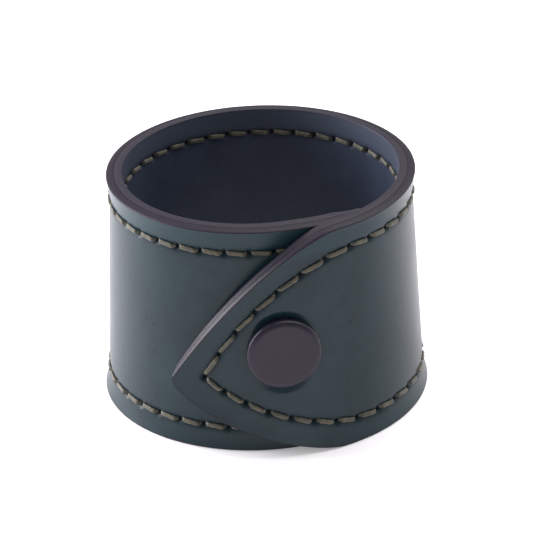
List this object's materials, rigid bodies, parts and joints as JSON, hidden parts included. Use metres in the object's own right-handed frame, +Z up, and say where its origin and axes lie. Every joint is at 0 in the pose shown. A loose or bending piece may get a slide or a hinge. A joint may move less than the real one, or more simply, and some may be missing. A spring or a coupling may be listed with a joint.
{
  "type": "leather snap band ring",
  "caption": "Short round sleeve of stitched two-layer leather, closed by a pointed flap with a black press stud.",
  "frame": {"origin": "centre of the ring's bounding box on the surface it stands on", "axes": "+Z up along the ring's axis; the flap and its press stud face -Y; the flap's tip points to -X"},
  "size_m": [0.056, 0.0571, 0.04],
  "materials": {
    "outer_leather": "satin dark blue-green",
    "lining_leather": "satin blue-black",
    "edge_paint": "satin edge paint",
    "thread": "waxed thread",
    "black_metal": "satin black",
    "snap_metal": "satin black",
    "spring_wire": "bright"
  },
  "bodies": {
    "band": {"outer_leather_band": "outer_leather", "lining_band": "lining_leather", "edge_coat_band": "edge_paint", "stitching_band": "thread", "snap_stud": "snap_metal", "snap_post": "snap_metal"},
    "flap_root": {"outer_leather_root": "outer_leather", "lining_root": "lining_leather", "edge_coat_root": "edge_paint", "stitching_root": "thread"},
    "flap_mid": {"outer_leather_mid": "outer_leather", "lining_mid": "lining_leather", "edge_coat_mid": "edge_paint", "stitching_mid": "thread"},
    "flap_tip": {"outer_leather_tip": "outer_leather", "lining_tip": "lining_leather", "edge_coat_tip": "edge_paint", "stitching_tip": "thread", "snap_cap": "black_metal", "snap_socket": "snap_metal", "socket_spring": "spring_wire"}
  },
  "joints": [
    {"name": "flap_root_bend", "type": "hinge", "parent": "band", "child": "flap_root", "pos_m": [0.02613, -0.01041, 0.02], "axis": [0, 0, 1], "range_deg": [0, 30], "stiffness_Nm_per_rad": 0.02, "deforming": ["socket_spring"]},
    {"name": "flap_mid_bend", "type": "hinge", "parent": "flap_root", "child": "flap_mid", "pos_m": [0.02115, -0.01861, 0.02], "axis": [0, 0, 1], "range_deg": [0, 36], "stiffness_Nm_per_rad": 0.02},
    {"name": "flap_tip_bend", "type": "hinge", "parent": "flap_mid", "child": "flap_tip", "pos_m": [0.01382, -0.02481, 0.02], "axis": [0, 0, 1], "range_deg": [0, 42], "stiffness_Nm_per_rad": 0.02}
  ],
  "couplings": [
    {"joint": "flap_mid_bend", "follows": "flap_root_bend", "ratio": 1.2},
    {"joint": "flap_tip_bend", "follows": "flap_root_bend", "ratio": 1.4}
  ]
}
